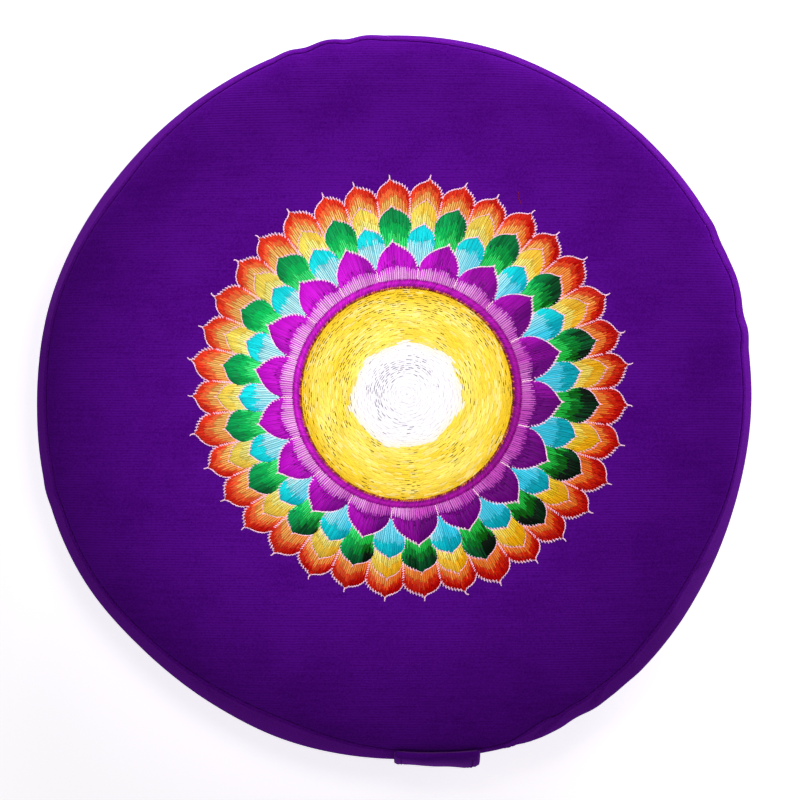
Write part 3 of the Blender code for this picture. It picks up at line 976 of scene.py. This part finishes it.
def edge_path(stitches, radius, bearing, lift, toothed, thick, share=1.0):
    """A line of stitches along a path of radii and bearings, and teeth across it, at a share of their size."""
    length, along = walk(spot(radius, bearing))
    rows = ((UNDER_TEETH, LINE_SLANT), (TEETH, TEETH_SLANT)) if toothed else ((LINE, LINE_SLANT),)
    for (pitch, size, width, height), slant in rows:
        pitch, size, width = pitch * share, size * share, width * thick * (0.5 + 0.5 * share)
        stop = length / MM - (0.8 if slant == TEETH_SLANT else 0.3) * size
        at = np.arange(0.45 * size, stop, pitch) * MM
        if len(at) == 0:
            continue
        at = at + rng.normal(0, 0.05 * pitch * MM, len(at))
        middle, step = along(at), along(at + 0.0004) - along(at - 0.0004)
        turn = np.arctan2(step[:, 1], step[:, 0]) + np.radians(slant + rng.normal(0, 5, len(at)))
        half = 0.5 * size * MM * rng.uniform(0.85, 1.1, (len(at), 1)) * np.stack([np.cos(turn), np.sin(turn)], 1)
        stitches.add(middle - half, middle + half, width * MM * rng.uniform(0.85, 1.15, len(at)), height * MM,
                     raised(lift, EDGE_LIFT), varied(EDGE, len(at), 0.05), ends=0.7)


def outline_petal(stitches, layer, petal, span=None):
    """One petal's outline from each foot to its tip, and the small spike that its thread ends in."""
    lift, thick = swelling(layer), layer.thick
    low, high = span or layer.span(petal)
    axis = peak_bearing(petal, layer.reach)
    for side, end in enumerate((low, high)):
        bearing = end + (axis - end) * np.linspace(0, 1, 90)
        radius = layer.edge(np.clip(bearing, low + 0.01, high - 0.01))
        if layer.sides[side]:
            down = np.linspace(float(layer.inner(end)) - 0.0004, radius[0], 24)
            edge_path(stitches, down, np.full(24, end), lift, side == 0, thick, SMALL_TEETH)
        edge_path(stitches, radius, bearing, lift, side == 0, thick)
    tip, spike = float(layer.edge(axis)), layer.spike
    hook = rng.normal(0, 0.25)
    root, knee, end = (spot(tip + more * MM, axis + turn)
                       for more, turn in ((-0.9, 0.0), (0.6 * spike, 0.15 * hook), (spike, hook)))
    for a, b, width in ((root, knee, 0.74), (knee, end, 0.60)):
        stitches.add(a, b, width * thick * MM, 0.00016, raised(lift, EDGE_LIFT), EDGE, ends=0.8)


def clear_span(petal, edge, above):
    """The part of a petal's edge that the petals above it leave clear."""
    at = np.linspace(*narrow_span(petal), 300)[1:-1]
    clear = at[edge(at) > above(at) + 0.0002]
    return clear[0], clear[-1]


def make_lotus(material):
    made = []
    for name, layers in (("petals_outer", (OUTER_LAYER,)), ("petals_second", (YELLOW_LAYER, GREEN_LAYER)),
                         ("petals_inner", (CYAN_LAYER, MAGENTA_LAYER, PINK_LAYER))):
        stitches = Stitches()
        for layer in layers:
            fill_petals(stitches, layer)
        made.append(stitches.make(name, material))

    edges = Stitches()
    for petal in EVERY:
        outline_petal(edges, OUTER_LAYER, petal)
        if petal % 2 == 0:
            outline_petal(edges, YELLOW_LAYER, petal, clear_span(petal, yellow_edge, green_edge))
        else:
            outline_petal(edges, GREEN_LAYER, petal)
    edges.add(LOOSE_THREAD[:-1], LOOSE_THREAD[1:], 0.0004, 0.0003, above_panel(0.0001), LOOSE_COLOUR,
              low_shade=0.42)
    made.append(edges.make("edging_outer", material))

    edges = Stitches()
    for layer in (CYAN_LAYER, MAGENTA_LAYER):
        for petal in layer.petals:
            outline_petal(edges, layer, petal)
    radius = np.linspace(RING_OUT, MAGENTA.valley * MM + 0.0005, 12)
    for petal in EVEN:
        edge_path(edges, radius, np.full(12, AXES[petal]), swelling(MAGENTA_LAYER), False, 1.0)
    made.append(edges.make("edging_inner", material))
    return made


# ------------ the disc
def many_sided(bearing):
    """The uneven edge of the white centre, as a share of its radius."""
    step = 360.0 / WHITE_SIDES
    off = (bearing + 12.0) % step - 0.5 * step
    return math.cos(math.radians(0.32 * step)) / np.cos(np.radians(0.85 * off)) * (
        1 + 0.035 * np.sin(np.radians(2 * bearing + 40)))


SLIT_WAVES = chance_waves(6, 0.014, 0.03)
RING_MIDDLE, RING_PITCH, RING_SLANT = 0.0515, 0.00074, 2.2
MEETING, MEETING_PITCH = 0.0499, 0.0011     # where the ring and the disc meet
DISC_PITCH = 0.00092        # from one round of split stitches to the next
SPLIT_STITCH = 0.0036
SLIT_CHANCE = 1.15


def slit_share(places):
    """How likely the disc's dark slits, painted shade of gaps between its threads, are at a place.

    In the white centre it is a ring of slits, most at the left. In the gold it is patches, more toward the upper
    left and along the upper rim."""
    x, y = places[:, 0] - DISC_CENTRE[0], places[:, 1] - DISC_CENTRE[1]
    radius = np.hypot(x, y)
    left = 0.5 - 0.5 * (0.8 * x - 0.6 * y) / np.maximum(radius, 0.001)
    white = 0.85 * left**1.2 * hill(radius, 0.0130, 0.0040)
    gold = 0.10 + 0.10 * sum_of(SLIT_WAVES, x, y) + 3.6 * (0.7 * y - 0.5 * x)
    gold = gold + 0.3 * rising(y, 0.045) * hill(radius, 0.0455, 0.003)
    return np.where(radius < 0.95 * WHITE_RADIUS, white, gold)


def disc_height(x, y):
    radius = np.hypot(x - DISC_CENTRE[0], y - DISC_CENTRE[1])
    swell = 1 - np.exp(-np.maximum(DISC_RADIUS + 0.0005 - radius, 0) / 0.002)
    return panel_height(x, y) + 0.0002 + 0.0005 * swell


def sew_ring(disc):
    """The magenta ring in two layers, the lower painted darker and the upper lighter, and short stitches of it and
    the disc between each other where they meet.
    """
    thread = {"height": 0.00055, "low_shade": 0.42}
    count = int(math.tau * RING_MIDDLE / RING_PITCH)
    bearing = np.linspace(0, 360, count, endpoint=False) + rng.normal(0, 0.06, count)
    # The lower layer painted darker and the narrower top layer lighter: painted shade at the ring's edges and a
    # painted highlight along its middle.
    disc.add(spot(RING_OUT + 0.0003, bearing), spot(RING_IN, bearing + RING_SLANT),
             width=0.00098 * rng.uniform(0.85, 1.15, count), lift=above_panel(0.0009),
             colour=varied(0.72 * painted_light_colour("ring", bearing), count, 0.20), **thread)
    disc.add(spot(RING_OUT - 0.0008, bearing), spot(RING_IN + 0.0012, bearing + 1.2), width=0.00070,
             lift=above_panel(0.00095), colour=varied(1.15 * painted_light_colour("ring", bearing), count, 0.20), ends=0.4,
             **thread)
    # Dark crimson and orange stitches where ring and disc meet: the dark crimson is partly painted shade of the
    # crevice between them.
    count = int(math.tau * MEETING / MEETING_PITCH)
    bearing = np.linspace(0, 360, count, endpoint=False)
    blend = rng.random((count, 1)) ** 1.5
    disc.add(spot(RING_IN - 0.0006, bearing + 0.9), spot(RING_IN + 0.0005, bearing), 0.0012, 0.00055,
             above_panel(0.0008), RING_DARK * (1 - blend) + RING_GOLD * blend, low_shade=0.9)


def sew_round(disc, radius):
    """One round of split stitches, and outside of it short dark stitches laid on top as painted shade of slits
    between the threads.
    """
    length = min(SPLIT_STITCH, radius * 1.1)
    count = max(3, int(math.tau * radius / length))
    begin = np.sort((np.arange(count) + rng.uniform(-0.22, 0.22, count)) / count) * 360.0 + rng.uniform(0, 360)
    end = np.concatenate([begin[1:], [begin[0] + 360.0]])
    overlap = np.degrees(min(0.0007, 0.14 * length) / radius)
    sway = 0.18 * DISC_PITCH * rng.choice((-1.0, 1.0), count)
    middle = 0.5 * (begin + end)
    inside = 1 - radius / (WHITE_RADIUS * many_sided(middle))
    white = (inside + rng.normal(0, 0.014, count) > 0)[:, None]
    r = radius + rng.normal(0, 0.00005, count)
    a, b = spot(r - sway, begin - overlap), spot(r + np.roll(sway, -1), end + overlap)
    patch = 0.5 + 0.25 * np.sin(np.radians(middle) * 3 + radius * 260) + 0.25 * np.sin(
        np.radians(middle) * 7 - radius * 410)
    gold = GOLD + (PALE_GOLD - GOLD) * patch[:, None]
    gold = gold + (RIM_GOLD - gold) * rising(radius - 0.0425, 0.006)
    gold = np.where(rng.random((count, 1)) < 0.2, 0.65 * gold + 0.35 * CREAM, gold)
    creamy = 0.34 * np.exp(-np.abs(inside) / 0.10)[:, None]
    colour = np.where(white, WHITE + (PALE_GOLD - WHITE) * creamy, gold + (PALE_GOLD - gold) * creamy)
    tone = 1 + rng.normal(0, 1, (count, 1)).clip(-2.4, 1.8) * np.where(white, 0.02, 0.06)
    disc.add(a, b, DISC_PITCH * 1.7, 0.00022, disc_height, colour * tone,
             bend=-r * (1 - np.cos(0.5 * np.radians(end - begin))), ends=np.where(white[:, 0], 1.0, 0.8),
             taper=0.18, end_height=0.6)

    # The slits are dark stitches laid on top of the rounds: painted shade.
    painted_slit = rng.random(count) < SLIT_CHANCE * slit_share(a)
    at = (begin + (end - begin) * rng.uniform(0.3, 0.7, count))[painted_slit]
    reach = np.degrees(rng.uniform(0.0007, 0.0013, len(at)) / radius)
    slit = radius + 0.5 * DISC_PITCH
    shade = np.where(white[painted_slit], WHITE_SLIT, GOLD_SLIT) * rng.uniform(0.7, 1.7, (len(at), 1))
    disc.add(spot(slit, at - reach), spot(slit, at + reach), 0.00032, 0.0001, raised(disc_height, 0.00026), shade,
             bend=-slit * (1 - np.cos(np.radians(reach))), ends=0.3)


def make_disc(material):
    """The magenta ring, and the disc of concentric split stitches, gold round an uneven white centre."""
    disc = Stitches()
    sew_ring(disc)
    radius = DISC_RADIUS - 0.0004
    while radius > 0.0006:
        sew_round(disc, radius)
        radius -= DISC_PITCH
    made = disc.make("disc_stitches", material)

    # The ground that shows between the rounds: painted shade, darker than the threads and darker still where slits
    # cluster.
    bearings, lift = np.arange(240) * 1.5, 0.00008
    rings, shades = [], []
    for row in (DISC_RADIUS + 0.0006, *np.linspace(0.002, DISC_RADIUS, 26)[::-1]):
        xy = spot(row, bearings)
        z = disc_height(xy[:, 0], xy[:, 1]) + lift - (0.0006 if row > DISC_RADIUS else 0.0)
        rings.append(np.concatenate([xy, z[:, None]], 1))
        white = (row < WHITE_RADIUS * many_sided(bearings))[:, None]
        dark = np.clip(2.2 * slit_share(xy), 0, 1)[:, None]
        shades.append(np.where(white, WHITE_GROUND, GOLD_GROUND) * (1 - dark)
                      + np.where(white, WHITE_SHADE, GOLD_SHADE) * dark)
    centre = spot(0.0, 0.0)
    top = (*centre, float(disc_height(*centre)) + lift)
    under = rings_mesh("disc_ground", np.array(rings), (*centre, top[2] - 0.0016), top)
    paint(under, np.concatenate([[shades[-1][0]], *shades, [shades[-1][0]]]))
    return [made, sewn("disc_ground", under, material)]


def make_seam_stitches(material):
    """Stitches across the top seam, from the panel to the band."""
    count = int(math.tau * SEAM_MEAN / STITCH_PITCH)
    bearing = np.arange(count) * 360.0 / count
    radius, z = drooped_seam(bearing)
    z = z - 0.0021
    return tubes("seam_stitches", around(radius - 0.0005, bearing, z),
                 around(radius + 0.0010, bearing + math.degrees(0.004), z), 0.00026, material)


# ------------ build
panel_cloth = cotton("panel_cloth", PANEL_COLOUR, "Y", 0.06, 0.9)
band_cloth = cotton("band_cloth", BAND_COLOUR, "Y", 0.09, 2.2, "UV")
strap_cloth = cotton("strap_cloth", PANEL_COLOUR, "Z", 0.30, 0.7)
floss = thread_material("embroidery_floss", 0.42, 0.06)
sewing_thread = thread_material("sewing_thread", 0.9, 0.0)

top_cover = make_top_panel(panel_cloth)
band_cover = make_band(band_cloth)
bottom_cover = make_bottom_panel(panel_cloth)
handle, handle_stitches = make_strap(strap_cloth, sewing_thread)
sewing = make_lotus(floss) + make_disc(floss)
sewing.append(make_seam_stitches(sewing_thread))


# ------------ floor, light and camera
def placed(name, data, place, turn=(0.0, 0.0, 0.0)):
    made = bpy.data.objects.new(name, data)
    made.location, made.rotation_euler = place, turn
    bpy.context.scene.collection.objects.link(made)
    return made


def make_floor():
    size = 3.0
    mesh = bpy.data.meshes.new("floor")
    mesh.from_pydata([(-size, -size, 0), (size, -size, 0), (size, size, 0), (-size, size, 0)], [], [(0, 1, 2, 3)])
    material, _ = start_material(
        "floor_white", Roughness=0.9, Specular_IOR_Level=0.1, Base_Color=(0.95, 0.93, 0.95, 1.0),
        Emission_Color=(1.0, 0.98, 1.0, 1.0), Emission_Strength=0.68)
    floor = piece("floor", mesh, material)
    floor.location.z = -0.0002


def soft_light(name, azimuth, elevation, distance, size, power):
    """A round lamp that faces the cushion from a direction, with a power against a screen's white."""
    data = bpy.data.lights.new(name, "AREA")
    data.shape, data.size, data.energy = "DISK", size, power * LIGHT_LEVEL
    turn, rise = math.radians(azimuth), math.radians(elevation)
    placed(name, data, (distance * math.cos(rise) * math.cos(turn), distance * math.cos(rise) * math.sin(turn),
                        0.1 + distance * math.sin(rise)), (math.pi / 2 - rise, 0.0, turn + math.pi / 2))


def pool_light(name, place, half_angle, power):
    """A round pool of light straight below its lamp, fading from its middle outward."""
    data = bpy.data.lights.new(name, "SPOT")
    data.spot_size, data.spot_blend = 2 * math.radians(half_angle), 1.0
    data.shadow_soft_size, data.energy = 0.06, power * LIGHT_LEVEL
    placed(name, data, place).visible_camera = False


def make_world(strength):
    world = bpy.data.worlds.new("studio")
    world.use_nodes = True
    world.node_tree.nodes["Background"].inputs["Color"].default_value = (1.0, 1.0, 1.0, 1.0)
    world.node_tree.nodes["Background"].inputs["Strength"].default_value = strength * LIGHT_LEVEL
    bpy.context.scene.world = world


def make_camera():
    data = bpy.data.cameras.new("camera")
    data.sensor_width, data.lens, data.clip_end = 36.0, 110.25, 20.0
    bpy.context.scene.camera = placed("camera", data, (0.003, -0.001, 1.300))


make_floor()
make_world(0.25)
soft_light("key", 52, 42, 0.64, 0.35, 1.5)
soft_light("low_right", 25, -6, 0.52, 0.08, 0.9)
soft_light("low_back", 100, -6, 0.52, 0.08, 1.4)
pool_light("overhead", (-0.0145, 0.007, 0.65), 21.3, 7.0)
make_camera()
bpy.context.scene.view_settings.view_transform = "Standard"
